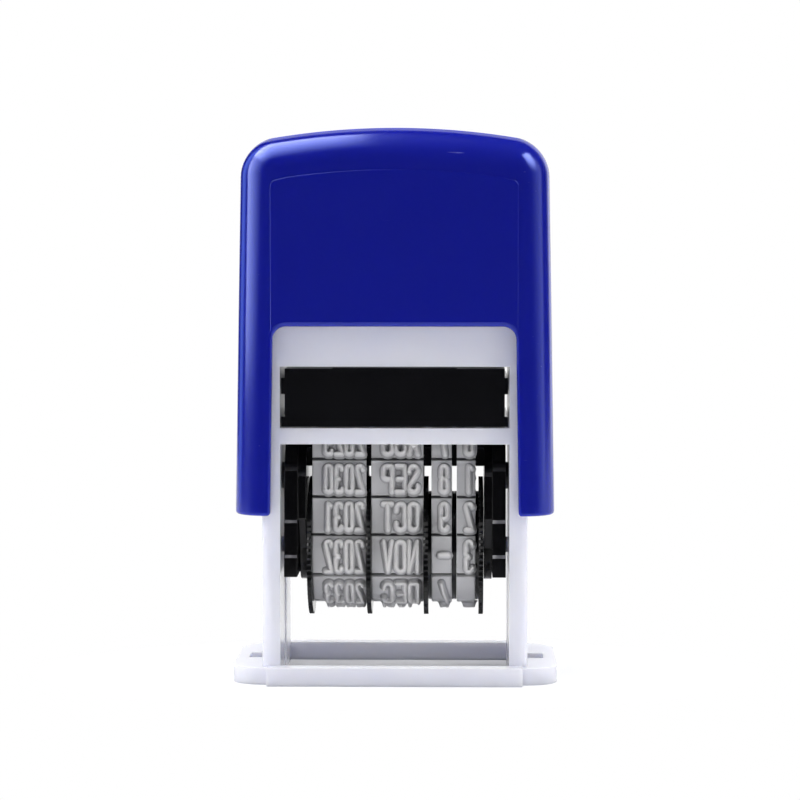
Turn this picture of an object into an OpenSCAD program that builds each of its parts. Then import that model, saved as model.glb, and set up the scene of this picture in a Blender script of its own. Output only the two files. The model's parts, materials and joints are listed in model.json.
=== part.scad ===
// Self-inking date stamp. A sprung cover carries a date unit on two trunnions; pegs on the frame
// run in the unit's cam grooves and turn it over as the cover goes down, from the ink pad above
// it to the paper below. Millimetres, +Z up, the front at -Y, the origin at the middle of the
// underside.

/* [Date bands] */
// Width of the year band
year_w = 6.9; // [5:0.05:8]
// Width of the month band
month_w = 6.65; // [5:0.05:8]
// Width of the band for the units of the day
unit_w = 2.5; // [2:0.05:3.5]
// Width of the band for the tens of the day
ten_w = 2.3; // [2:0.05:3.5]
// Thickness of a band at its pads
band_t = 1.3; // [1:0.05:1.6]
// Thickness of a band in the grooves between its pads
web_t = 0.7; // [0.5:0.05:0.9]
// Length of a groove along the band
groove_l = 0.4; // [0.3:0.05:0.8]
// Number of pads on a band
pads = 12; // [10:1:14]
// Height of the raised type above its pad
type_h = 0.8; // [0.5:0.05:1.1]
// Height of a character, along the band
type_l = 3.7; // [3:0.05:4]
// Width of a digit
digit_w = 1.1; // [0.8:0.05:1.3]
// Step from digit to digit of a year
digit_step = 1.37; // [1.2:0.01:1.5]
// Width of a letter of a month
letter_w = 1.45; // [1.1:0.05:1.6]
// Step from letter to letter of a month
letter_step = 1.75; // [1.65:0.01:1.9]
// How far the type of the year and of the tens sits to the right of its band's middle
type_shift = 0.45; // [0:0.05:0.5]

/* [Setting wheels] */
// Radius of a thumb disc over its knurl
disc_r = 9.15; // [8.6:0.05:9.6]
// Thickness of a thumb disc
disc_t = 0.6; // [0.5:0.05:1]
// Number of teeth in the knurl
knurl_teeth = 72; // [48:1:96]
// Depth of the knurl
knurl_depth = 0.3; // [0.15:0.05:0.4]
// Radius of the hubs over their eight corners
hub_r = 6.1; // [5.7:0.05:6.4]
// Radius of the flanges and of the spacer beside the day bands
flange_r = 7.2; // [6.8:0.05:7.4]
// Thickness of a flange
flange_t = 0.4; // [0.3:0.05:0.6]
// Thickness of the spacer between the day bands
spacer_t = 0.6; // [0.4:0.05:0.9]
// Radius of the wheel axle
axle_r = 1; // [0.8:0.05:1.3]
// Free play beside each disc and each band
lane_gap = 0.1; // [0.08:0.01:0.15]
// Running clearance of the wheels on the axle
axle_gap = 0.05; // [0.03:0.01:0.1]
// Clearance between a band and the hub and bridge that it runs on
band_gap = 0.1; // [0.05:0.01:0.15]

/* [Date unit] */
// Distance from the trunnions down to the wheel axle
axle_drop = 9.3; // [9:0.05:9.8]
// Width of the bridge under the bands, front to back
former_w = 9.4; // [8:0.1:10]
// Rounding of the bridge's two upper edges
former_r = 0.8; // [0.5:0.05:1.1]
// Height of the bridge
former_h = 3.2; // [2.6:0.1:3.6]
// How far the bridge's dividers stand out past the bands' inner face
divider_out = 1; // [0.5:0.05:1.2]
// Thickness of a cheek's inner plate
cheek_t = 1.05; // [0.9:0.05:1.4]
// Thickness of a cheek's cam block
cam_t = 1.75; // [1.4:0.05:2]
// Radius of the trunnions
trunnion_r = 1.8; // [1.4:0.05:2]
// Distance of the reversing pegs from the trunnions' path, to the rear
peg_y = 3.8; // [3.4:0.05:4.2]
// Radius of the reversing pegs
peg_r = 1.05; // [0.9:0.05:1.2]
// Clearance of a peg in its cam groove
groove_gap = 0.2; // [0.1:0.05:0.3]
// Depth of the cam groove
groove_t = 1.15; // [0.9:0.05:1.3]
// Rim of the cam block outside the groove
cam_rim = 1.2; // [0.8:0.1:1.4]
// Step out of the cam block at each of its two ledges
ledge_out = 0.45; // [0.3:0.05:0.6]
// Height of the cam block below the wheel axle
cam_foot = 3.2; // [2.8:0.05:4]
// Rounding of the inner plate below the wheel axle
plate_foot = 4.5; // [3.8:0.05:4.8]
// Distance from the trunnions down to the upper ledge
ledge_up = 5.1; // [4.6:0.05:5.6]
// Distance from the upper ledge down to the lower one
ledge_step = 4.5; // [4:0.05:5]
// Half width of a cheek's top
shoulder = 4.7; // [4:0.05:5.4]
// Height over the trunnions where a cheek starts to narrow
shoulder_z = 1.2; // [0.6:0.05:1.6]
// How far the cam block's front stands before the inner plate's
plate_in = 0.8; // [0.5:0.05:1.2]
// Depth of the axle's seat in the cam block
axle_seat = 0.9; // [0.6:0.05:1.1]
// How far the trunnions reach into the cover's sides
trunnion_in = 0.15; // [0.05:0.05:0.3]
// Clearance of the bridge's tenons in the cheeks
tenon_gap = 0.05; // [0.02:0.01:0.1]

/* [Ink cartridge] */
// How far the cartridge's ends lie behind the frame's front and rear
tray_set = 0.2; // [0.1:0.05:0.6]
// Height of the cartridge
tray_h = 7.6; // [7:0.1:8.2]
// Thickness of the cartridge's walls
tray_wall = 1.3; // [0.8:0.05:1.6]
// Thickness of the cartridge's roof
tray_roof = 1.4; // [1:0.05:1.8]
// Clearance of the cartridge in its bay, each way
slide_gap = 0.15; // [0.12:0.01:0.25]
// Height of the cartridge's side rails
rail_h = 2.1; // [1.1:0.05:2.4]
// Distance from the cartridge's lower edge up to its rails
rail_up = 4.2; // [3.8:0.05:4.8]
// Space between the cartridge's sides and its bay, where the rails run
tray_in = 0.6; // [0.4:0.05:0.9]
// Width of the small lip along the top of the cartridge's front
lip_w = 16; // [10:0.5:22]
// Height of that lip
lip_h = 0.1; // [0.1:0.05:0.3]
// Height of the flange along the cartridge's lower edge
tray_foot = 1.3; // [0.6:0.05:1.6]
// Clearance between the pad and its tray
pad_gap = 0.1; // [0.05:0.01:0.2]
// Clearance between the type and the pad at rest
ink_gap = 0.05; // [0.05:0.01:0.2]

/* [Frame] */
// Depth of the frame's columns, front to back
frame_d = 22; // [20:0.1:26]
// Thickness of the columns
wall_t = 2.4; // [2.2:0.1:3]
// Rounding of the columns' outer edges
wall_r = 1.5; // [0.5:0.1:2]
// Thickness of the cross bars and of the panels above the cartridge
panel_t = 1.6; // [1.2:0.1:2]
// Height of the underside of the cross bars
cross_z = 31.1; // [29:0.1:33.5]
// Height of the cross bars
cross_h = 2.1; // [1.8:0.1:2.4]
// Thickness of the deck above the cartridge
deck_t = 1.6; // [1.2:0.1:2]
// Height of the frame above its deck
tower_h = 4.2; // [3.6:0.1:5.4]
// Gap between the cam blocks and the columns
cam_gap = 0.4; // [0.4:0.05:0.8]
// Clearance of the trunnions in the columns' slots
slot_gap = 0.15; // [0.1:0.01:0.2]
// Reach of the ears past the columns
ear_out = 3.9; // [3:0.1:5]
// How far the ears stand out past the columns, front and rear
ear_over = 0.6; // [0.3:0.1:1]
// Height of the ears
ear_h = 2.2; // [1.8:0.1:2.4]
// Rounding of the ears' corners
ear_r = 4; // [1:0.1:5]
// Clearance of the trunnions on their way in through the ears
ear_gap = 0.3; // [0.2:0.05:0.5]
// Reach of the front and rear bars past the columns
bar_out = 2.1; // [1.6:0.1:2.3]
// Thickness of the front and rear bars
bar_t = 2.4; // [2:0.1:3.5]
// Height of the front and rear bars
bar_h = 2.4; // [2:0.1:2.6]
// Overlap of the bars with the ears, sideways
bar_lap = 1.7; // [1.4:0.1:2.4]

/* [Cover] */
// Thickness of the cover
cover_t = 1.6; // [1.3:0.05:1.8]
// Space between the columns and the cover's sides
leg_gap = 1.85; // [1.5:0.05:2.4]
// Space between the frame's front and the cover
front_gap = 0.8; // [0.7:0.05:1.4]
// Taper of each side towards the top
side_draft = 0.5; // [0:0.05:0.6]
// Taper of the front and rear towards the top
front_draft = 0.35; // [0:0.05:0.4]
// Radius of the rounding along the top and down the edges
cover_r = 4.2; // [3.6:0.1:4.6]
// Rise of the crown from its ends to its middle
crown_h = 1.3; // [0.6:0.05:1.5]
// Travel of the cover
stroke = 19.2; // [17.5:0.1:21]
// Space left under the legs when the cover is down
foot_gap = 0.4; // [0.3:0.05:1]
// Space left between the frame's top and the cover's inner rounding when the cover is down
head_gap = 0.2; // [0.1:0.05:1]
// White panel that shows between the cartridge bay and the window's top edge
brow_h = 5.2; // [4:0.1:6]
// Inset of the window's sides from the columns' outer faces
window_in = 1.3; // [0.8:0.05:1.8]
// Rounding of the window's upper corners
window_r = 1.7; // [0.8:0.1:3]
// Height of the raised label panel
label_t = 0.1; // [0.05:0.05:0.15]
// Inset of the label panel's sides from the window's
label_in = 0.1; // [0.05:0.05:1]
// Distance from the crown down to the label panel's upper edge
label_down = 5.6; // [5:0.1:8]
// Clearance between the trunnion bosses and the columns
boss_gap = 0.3; // [0.2:0.05:0.5]
// Wall of a trunnion boss round its bore
boss_t = 1.3; // [0.9:0.05:1.6]
// Running clearance of the trunnions in the bosses
trunnion_gap = 0.05; // [0.03:0.01:0.1]
// Clearance of the cover's guide ribs on the columns
rib_gap = 0.25; // [0.2:0.05:0.4]
// Thickness of a guide rib
rib_t = 1.2; // [0.8:0.1:1.6]
// Distance of the guide ribs from the middle
rib_y = 7; // [6:0.1:8]

/* [Return spring] */
// Diameter of the spring at the middle of its wire
spring_d = 9; // [8:0.1:10]
// Diameter of the wire
wire_d = 0.8; // [0.6:0.05:1]
// Number of turns
turns = 7; // [5:1:8]
// Clearance at the spring's two ends
spring_gap = 0.05; // [0.02:0.01:0.1]
// Clearance beside the spring in its cup and on its post
guide_gap = 0.4; // [0.3:0.05:0.6]
// Wall of the spring's cup
cup_t = 1.2; // [0.8:0.1:1.6]
// Height of the spring's cup
cup_h = 3; // [2:0.1:4]
// Length of the spring's post
post_h = 4; // [2:0.1:5]

/* [Hidden] */
$fn = 64;
// Small overlap that lets pieces of one solid join, and cuts run past their faces
lap = 0.5;
// Fineness of the shapes that are hulled
hull_fn = 32;
// Fineness of arcs drawn as polygons, in degrees
arc_step = 10;

// Lanes of the date unit from left to right
carrier = (4 * disc_t + 2 * flange_t + spacer_t + year_w + month_w + unit_w + ten_w) / 2
    + 5 * lane_gap;
year_disc_x = -carrier + lane_gap;
year_x = year_disc_x + disc_t + lane_gap;
month_disc_x = year_x + year_w + lane_gap;
month_x = month_disc_x + disc_t + lane_gap;
unit_disc_x = month_x + month_w + lane_gap;
unit_x = unit_disc_x + disc_t + flange_t + lane_gap;
spacer_x = unit_x + unit_w + lane_gap;
ten_x = spacer_x + spacer_t + lane_gap;
ten_flange_x = ten_x + ten_w + lane_gap;
ten_disc_x = ten_flange_x + flange_t;

// Widths from the date unit out to the cover
cam_x = carrier + cheek_t;
cam_out = cam_x + cam_t;
wall_in = cam_out + cam_gap;
wall_out = wall_in + wall_t;
cover_in = wall_out + leg_gap;
cover_half = cover_in + cover_t;
trunnion_end = cover_in + trunnion_in;
ear_half = wall_out + ear_out;
bar_half = wall_in + bar_lap;

// Depths
column = frame_d / 2;
cover_in_y = column + front_gap;
cover_half_y = cover_in_y + cover_t;

// Heights from the base up
bay_z = cross_z + cross_h;
tray_z = bay_z + slide_gap;
rail_z = tray_z + rail_up;
deck_z = tray_z + tray_h + slide_gap;
seat_z = deck_z + deck_t;
tower_z = seat_z + tower_h;
ceiling_z = tower_z + stroke + head_gap + crown_h + cover_r - cover_t;
cover_z = ceiling_z + cover_t;
leg_z = max(ear_h, bar_h) + stroke + foot_gap;
window_z = deck_z + brow_h;
label_z = cover_z - label_down;

// The type face is at the pad at rest and on the paper half a turn later
print_z = tray_z - ink_gap;
trunnion_z = (print_z + stroke) / 2;
print_up = print_z - trunnion_z;

// Loop of a band round the bridge and the hubs, seen from the side, about the trunnions
former_top = print_up - type_h - band_t - band_gap;
former_foot = former_top - former_h;
hub_in = hub_r + band_gap;
corner_r = former_r + band_gap;
corner_y = former_w / 2 - former_r;
corner_z = former_top - former_r;
span = norm([corner_y, corner_z + axle_drop]);
lean = atan2(corner_z + axle_drop, corner_y) - acos((hub_in - corner_r) / span);
run = sqrt(span * span - pow(hub_in - corner_r, 2));
neutral = web_t / 2;
corner_l = (corner_r + neutral) * (90 - lean) * PI / 180;
hub_l = (hub_in + neutral) * (90 + lean) * PI / 180;
half_loop = corner_y + corner_l + run + hub_l;
pitch = 2 * half_loop / pads;

// Point of the loop at a distance s from the print face's middle and a height h over its inner face
function half_point(s, h) =
    s < corner_y ? [s, former_top + band_gap + h]
    : s < corner_y + corner_l ? let (a = 90 - (s - corner_y) / corner_l * (90 - lean))
        [corner_y, corner_z] + (corner_r + h) * [cos(a), sin(a)]
    : s < half_loop - hub_l ? [corner_y, corner_z] + (corner_r + h) * [cos(lean), sin(lean)]
        + (s - corner_y - corner_l) * [sin(lean), -cos(lean)]
    : let (a = lean - (s - half_loop + hub_l) / hub_l * (90 + lean))
        [0, -axle_drop] + (hub_in + h) * [cos(a), sin(a)];
function flip_y(p) = [-p[0], p[1]];
function loop_point(s, h) =
    s < 0 ? flip_y(half_point(-s, h))
    : s > half_loop ? flip_y(half_point(2 * half_loop - s, h)) : half_point(s, h);

// Closed curve along the loop at one height
loop_n = 180;
function loop_ring(h) = [for (i = [0 : loop_n - 1]) loop_point(i * 2 * half_loop / loop_n, h)];
// The same with steps up to height high over a length l of each pad
step_n = 8;
function loop_steps(low, high, l) = [for (i = [0 : pads - 1])
    each concat(
        [loop_point(i * pitch - l / 2, low)],
        [for (k = [0 : step_n]) loop_point(i * pitch + (k / step_n - 0.5) * l, high)],
        [loop_point(i * pitch + l / 2, low)],
        [loop_point((i + 0.5) * pitch, low)])];

// Middle of the cam groove about the trunnions: the peg's path as the unit turns over
function groove_point(t) = let (turn = 180 * t, u = stroke * (t - 0.5))
    [peg_y * cos(turn) - u * sin(turn), peg_y * sin(turn) + u * cos(turn)];
groove_n = 40;
groove_w = peg_r + groove_gap;
function groove_side(t) = let (d = groove_point(t + 0.001) - groove_point(t - 0.001))
    [-d[1], d[0]] / norm(d);
groove_reach = max([for (i = [0 : groove_n]) groove_point(i / groove_n)[0]]);
cam_half = groove_reach + groove_w + cam_rim;
cam_top = min(tray_z - trunnion_z - slide_gap, peg_y + groove_w + cam_rim);
cam_bottom = -axle_drop - cam_foot;
ledge_z = [-ledge_up, -ledge_up - ledge_step];

// Solid along X over a drawing in the YZ plane
module along_x(x, w) {
    translate([x, 0, 0]) rotate([90, 0, 90]) linear_extrude(w) children();
}

module rod_x(x, w, r, y = 0, z = 0) {
    translate([x, y, z]) rotate([0, 90, 0]) cylinder(h = w, r = r);
}

// Date unit pieces are drawn about the trunnions
module at_trunnions() {
    translate([0, 0, trunnion_z]) children();
}

// Arc of a polygon's corner
function arc(c, r, from, to) = [for (i = [0 : ceil(abs(to - from) / arc_step)])
    let (a = from + (to - from) * i / ceil(abs(to - from) / arc_step)) c + r * [cos(a), sin(a)]];

// White frame: base ring, columns, cross bars, cartridge bay and spring deck

module column_plan() {
    polygon(concat(
        [[wall_in, -column]],
        arc([wall_out - wall_r, -column + wall_r], wall_r, -90, 0),
        arc([wall_out - wall_r, column - wall_r], wall_r, 0, 90),
        [[wall_in, column]]));
}

module ear_plan() {
    ear_y = column + ear_over;
    polygon(concat(
        [[wall_in, -ear_y]],
        arc([ear_half - ear_r, -ear_y + ear_r], ear_r, -90, 0),
        arc([ear_half - ear_r, ear_y - ear_r], ear_r, 0, 90),
        [[wall_in, ear_y]]));
}

// One column with its ear, trunnion slot and reversing peg
module column_side() {
    slot_w = trunnion_r + slot_gap;
    ear_w = trunnion_r + ear_gap;
    difference() {
        union() {
            linear_extrude(tower_z) column_plan();
            linear_extrude(ear_h) ear_plan();
        }
        translate([wall_in - lap, -slot_w, -lap])
            cube([wall_t + 2 * lap, 2 * slot_w, trunnion_z + lap]);
        rod_x(wall_in - lap, wall_t + 2 * lap, slot_w, 0, trunnion_z);
        translate([wall_in - lap, -ear_w, -lap])
            cube([trunnion_end - wall_in + lap + ear_gap, 2 * ear_w, ear_h + lap]);
    }
    rod_x(wall_in - cam_gap - groove_t + groove_gap, cam_gap + groove_t - groove_gap + lap, peg_r,
        peg_y, trunnion_z - stroke / 2);
}

// Bars, cross bar and panel of the front or the rear
module frame_front() {
    translate([-bar_half, -column - bar_out, 0]) cube([2 * bar_half, bar_t, bar_h]);
    translate([-wall_in - lap, -column, cross_z]) cube([2 * (wall_in + lap), panel_t, cross_h]);
    translate([-wall_in - lap, -column, deck_z])
        cube([2 * (wall_in + lap), panel_t, tower_z - deck_z]);
}

module frame() {
    cup_in = spring_d / 2 + wire_d / 2 + guide_gap;
    color("ghostwhite") {
        column_side();
        mirror([1, 0, 0]) column_side();
        frame_front();
        mirror([0, 1, 0]) frame_front();
        translate([-wall_in - lap, -column, deck_z]) cube([2 * (wall_in + lap), frame_d, deck_t]);
        translate([0, 0, seat_z - lap]) difference() {
            cylinder(h = cup_h + lap, r = cup_in + cup_t);
            translate([0, 0, lap]) cylinder(h = cup_h + lap, r = cup_in);
        }
    }
}

// Blue cover: crowned shell with two legs

crown_x = cover_half - side_draft - cover_r;
crown_r = (crown_x * crown_x + crown_h * crown_h) / (2 * crown_h);
function crown_drop(x) = crown_r - sqrt(crown_r * crown_r - x * x);

// Outer form of the shell, or the room inside it when it is set in by the cover's thickness
module cover_form(inset, bottom) {
    r = cover_r - inset;
    foot_x = cover_half - cover_r;
    foot_y = cover_half_y - cover_r;
    crown_y = foot_y - front_draft;
    hull() {
        for (sx = [-1, 1], sy = [-1, 1]) {
            translate([sx * foot_x, sy * foot_y, bottom]) cylinder(h = lap, r = r, $fn = hull_fn);
        }
        for (k = [-1 : 0.25 : 1], sy = [-1, 1]) {
            translate([k * crown_x, sy * crown_y, cover_z - cover_r - crown_drop(k * crown_x)])
                sphere(r = r, $fn = hull_fn);
        }
    }
}

// Window between the legs, open at the bottom
module window_cut() {
    half = wall_out - window_in;
    translate([0, cover_half_y + lap, 0]) rotate([90, 0, 0]) linear_extrude(2 * (cover_half_y + lap))
        polygon(concat(
            [[-half, leg_z - lap], [half, leg_z - lap]],
            arc([half - window_r, window_z - window_r], window_r, 0, 90),
            arc([-half + window_r, window_z - window_r], window_r, 90, 180)));
}

// Raised panel for a label, above the window
module label_panel() {
    half = wall_out - window_in - label_in;
    face_h = cover_z - cover_r - leg_z;
    tilt = atan(front_draft / face_h);
    edge_n = 12;
    translate([0, -cover_half_y, leg_z]) rotate([-tilt, 0, 0]) translate([0, cover_t / 2, 0])
        rotate([90, 0, 0]) linear_extrude(cover_t / 2 + label_t)
            polygon(concat(
                [[-half, window_z - lap - leg_z], [half, window_z - lap - leg_z]],
                [for (i = [0 : edge_n]) let (x = half * (1 - 2 * i / edge_n))
                    [x, label_z - crown_drop(x) - leg_z]]));
}

module cover() {
    boss_r = trunnion_r + trunnion_gap + boss_t;
    rib_x = wall_out + rib_gap;
    boss_x = wall_out + boss_gap;
    rib_top = ceiling_z - crown_h - cover_r;
    color("mediumblue") difference() {
        union() {
            difference() {
                cover_form(0, leg_z);
                cover_form(cover_t, leg_z - lap);
            }
            for (s = [0, 1]) mirror([0, s, 0]) label_panel();
            for (s = [0, 1]) mirror([s, 0, 0]) {
                rod_x(boss_x, cover_in - boss_x + lap, boss_r, 0, trunnion_z);
                for (y = [-rib_y, rib_y]) {
                    translate([rib_x, y - rib_t / 2, leg_z])
                        cube([cover_in + cover_t / 2 - side_draft - rib_x, rib_t, rib_top - leg_z]);
                }
            }
            translate([0, 0, ceiling_z - post_h])
                cylinder(h = post_h + lap, r = spring_d / 2 - wire_d / 2 - guide_gap);
        }
        for (s = [0, 1]) mirror([s, 0, 0]) {
            rod_x(boss_x - lap, trunnion_end - boss_x + lap + boss_gap, trunnion_r + trunnion_gap,
                0, trunnion_z);
        }
        window_cut();
    }
}

// Steel return spring: one open helix from the deck to the ceiling

coil_rings = 8;
coil_sides = 6;
coil_low = seat_z + wire_d / 2 + spring_gap;
coil_high = ceiling_z - wire_d / 2 - spring_gap;
coil_n = turns * coil_rings;
coil_rise = atan((coil_high - coil_low) / turns / (PI * spring_d));
function coil_point(i) = [spring_d / 2 * cos(i * 360 / coil_rings),
    spring_d / 2 * sin(i * 360 / coil_rings), coil_low + (coil_high - coil_low) * i / coil_n];
function coil_rim(i, k) = let (a = i * 360 / coil_rings, b = k * 360 / coil_sides)
    coil_point(i) + wire_d / 2 * (cos(b) * [cos(a), sin(a), 0]
        + sin(b) * [sin(a) * sin(coil_rise), -cos(a) * sin(coil_rise), cos(coil_rise)]);
coil_gap = min([for (i = [0 : coil_n - coil_rings])
    for (j = [i + coil_rings - 1 : min(i + coil_rings + 1, coil_n)])
        norm(coil_point(i) - coil_point(j))]) - wire_d;
echo(least_gap_of_spring_to_itself = coil_gap);

module return_spring() {
    points = [for (i = [0 : coil_n], k = [0 : coil_sides - 1]) coil_rim(i, k)];
    function at(i, k) = i * coil_sides + k % coil_sides;
    sides = [for (i = [0 : coil_n - 1], k = [0 : coil_sides - 1])
        each [[at(i, k), at(i + 1, k), at(i, k + 1)], [at(i, k + 1), at(i + 1, k), at(i + 1, k + 1)]]];
    ends = [for (k = [1 : coil_sides - 2])
        each [[at(0, 0), at(0, k), at(0, k + 1)], [at(coil_n, 0), at(coil_n, k + 1), at(coil_n, k)]]];
    color("silver") polyhedron(points, concat(sides, ends));
}

// Ink cartridge: black tray with side rails, and the inked pad that faces down in it

tray_half = wall_in - tray_in;
rail_half = wall_in - slide_gap;
tray_y = column - tray_set;
tray_d = 2 * tray_y;

module ink_tray() {
    color("black") difference() {
        union() {
            translate([-tray_half, -tray_y, tray_z]) cube([2 * tray_half, tray_d, tray_h - lip_h]);
            translate([-rail_half, -tray_y, rail_z]) cube([2 * rail_half, tray_d, rail_h]);
            translate([-rail_half, -tray_y, tray_z]) cube([2 * rail_half, tray_d, tray_foot]);
            translate([-lip_w / 2, -tray_y, tray_z + tray_h - lap])
                cube([lip_w, tray_wall, lap]);
        }
        translate([-tray_half + tray_wall, -tray_y + tray_wall, tray_z - lap])
            cube([2 * (tray_half - tray_wall), tray_d - 2 * tray_wall, tray_h - tray_roof + lap]);
    }
}

module ink_pad() {
    pad_x = tray_half - tray_wall - pad_gap;
    pad_y = tray_y - tray_wall - pad_gap;
    color("dimgray") translate([-pad_x, -pad_y, tray_z])
        cube([2 * pad_x, 2 * pad_y, tray_h - tray_roof - pad_gap]);
}

// Date unit: cheeks, bridge and axle

module groove_plan() {
    polygon(concat(
        [for (i = [0 : groove_n]) groove_point(i / groove_n) + groove_w * groove_side(i / groove_n)],
        [for (i = [groove_n : -1 : 0])
            groove_point(i / groove_n) - groove_w * groove_side(i / groove_n)]));
}

// Cam block seen from the side, with a ledge on its front and its rear at each step
module cam_plan() {
    half = [[shoulder, cam_top], [cam_half, shoulder_z], [cam_half, ledge_z[0]],
        [cam_half + ledge_out, ledge_z[0] - ledge_out], [cam_half + ledge_out, ledge_z[1]],
        [cam_half + 2 * ledge_out, ledge_z[1] - ledge_out], [cam_half + 2 * ledge_out, cam_bottom]];
    last = len(half) - 1;
    polygon(concat(half, [for (i = [0 : last]) flip_y(half[last - i])]));
}

module plate_plan() {
    plate_half = cam_half - plate_in;
    half = [[shoulder - plate_in, cam_top], [plate_half, shoulder_z - plate_in], [plate_half, ledge_z[0]],
        [plate_foot, -axle_drop]];
    last = len(half) - 1;
    polygon(concat(half, [for (i = [0 : last]) flip_y(half[last - i])]));
}

// Tenon of the bridge, and with a clearance its seat in a cheek
module tenon(clearance) {
    half = former_w / 2 - former_r + clearance;
    foot = former_foot + former_r - clearance;
    translate([carrier - lap, -half, foot])
        cube([cheek_t + lap, 2 * half, former_h - 2 * former_r + 2 * clearance]);
}

module cheek() {
    at_trunnions() difference() {
        union() {
            along_x(carrier, cheek_t) plate_plan();
            rod_x(carrier, cheek_t, plate_foot, 0, -axle_drop);
            along_x(cam_x, cam_t) cam_plan();
            rod_x(cam_out - lap, trunnion_end - cam_out + lap, trunnion_r);
        }
        along_x(cam_out - groove_t, groove_t + lap) groove_plan();
        for (t = [0, 1]) {
            rod_x(cam_out - groove_t, groove_t + lap, groove_w, groove_point(t)[0], groove_point(t)[1]);
        }
        rod_x(carrier - lap, cheek_t + lap + axle_seat, axle_r + axle_gap, 0, -axle_drop);
        tenon(tenon_gap);
    }
}

module left_cheek() {
    color("black") mirror([1, 0, 0]) cheek();
}

module right_cheek() {
    color("black") cheek();
}

module divider(x, w) {
    half = former_w / 2 + divider_out;
    along_x(x, w) polygon([[-half, former_foot], [half, former_foot],
        [half, former_top - former_r], [former_w / 2, former_top + divider_out],
        [-former_w / 2, former_top + divider_out], [-half, former_top - former_r]]);
}

module band_bridge() {
    half = former_w / 2;
    color("black") at_trunnions() {
        along_x(-carrier, 2 * carrier) polygon(concat(
            [[-half, former_foot], [half, former_foot]],
            arc([corner_y, corner_z], former_r, 0, 90), arc([-corner_y, corner_z], former_r, 90, 180)));
        divider(-carrier, year_x - lane_gap + carrier);
        divider(month_disc_x, disc_t);
        divider(unit_disc_x, disc_t + flange_t);
        divider(spacer_x, spacer_t);
        divider(ten_flange_x, carrier - ten_flange_x);
        tenon(0);
        mirror([1, 0, 0]) tenon(0);
    }
}

module wheel_axle() {
    axle_half = cam_x + axle_seat - lane_gap;
    color("silver") at_trunnions() rod_x(-axle_half, 2 * axle_half, axle_r, 0, -axle_drop);
}

// Setting wheels: a knurled thumb disc with an eight-sided hub that drives its band

module knurled_disc(x) {
    along_x(x, disc_t) translate([0, -axle_drop]) polygon([for (i = [0 : 2 * knurl_teeth - 1])
        let (a = i * 180 / knurl_teeth, r = disc_r - (i % 2) * knurl_depth) r * [cos(a), sin(a)]]);
}

module axle_bore() {
    rod_x(-carrier, 2 * carrier, axle_r + axle_gap, 0, -axle_drop);
}

module setting_wheel(disc_x, hub_x, hub_w) {
    color("black") at_trunnions() difference() {
        union() {
            knurled_disc(disc_x);
            rod_x(hub_x, hub_w, hub_r, 0, -axle_drop, $fn = 8);
            children();
        }
        axle_bore();
    }
}

module year_wheel() {
    setting_wheel(year_disc_x, year_disc_x + disc_t / 2, year_x + year_w - year_disc_x - disc_t / 2);
}

module month_wheel() {
    setting_wheel(month_disc_x, month_disc_x + disc_t / 2,
        month_x + month_w - month_disc_x - disc_t / 2);
}

module day_unit_wheel() {
    setting_wheel(unit_disc_x, unit_disc_x + disc_t / 2, unit_x + unit_w - unit_disc_x - disc_t / 2)
        rod_x(unit_disc_x + disc_t / 2, disc_t / 2 + flange_t, flange_r, 0, -axle_drop);
}

module day_ten_wheel() {
    setting_wheel(ten_disc_x, ten_x, ten_disc_x + disc_t / 2 - ten_x)
        rod_x(ten_flange_x, flange_t + disc_t / 2, flange_r, 0, -axle_drop);
}

module wheel_spacer() {
    color("black") at_trunnions() difference() {
        rod_x(spacer_x, spacer_t, flange_r, 0, -axle_drop);
        axle_bore();
    }
}

// Rubber date bands: pads with raised characters, one column of type for each place

module band(x, w, count, char_w, char_step, shift) {
    type_foot = web_t / 2;
    color("darkgray") at_trunnions() {
        along_x(x, w) difference() {
            polygon(loop_steps(web_t, band_t, pitch - groove_l));
            polygon(loop_ring(0));
        }
        for (i = [0 : count - 1]) {
            along_x(x + w / 2 + shift + (i - (count - 1) / 2) * char_step - char_w / 2, char_w)
                difference() {
                    polygon(loop_steps(type_foot + web_t / 4, band_t + type_h, type_l));
                    polygon(loop_ring(type_foot));
                }
        }
    }
}

module year_band() {
    band(year_x, year_w, 4, digit_w, digit_step, type_shift);
}

module month_band() {
    band(month_x, month_w, 3, letter_w, letter_step, 0);
}

module day_unit_band() {
    band(unit_x, unit_w, 1, digit_w, digit_step, 0);
}

module day_ten_band() {
    band(ten_x, ten_w, 1, digit_w, digit_step, type_shift);
}

frame();
cover();
return_spring();
ink_tray();
ink_pad();
left_cheek();
right_cheek();
band_bridge();
wheel_axle();
year_wheel();
month_wheel();
day_unit_wheel();
day_ten_wheel();
wheel_spacer();
year_band();
month_band();
day_unit_band();
day_ten_band();
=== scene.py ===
import json
import math

import bmesh
import bpy
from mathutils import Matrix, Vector, noise


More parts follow.
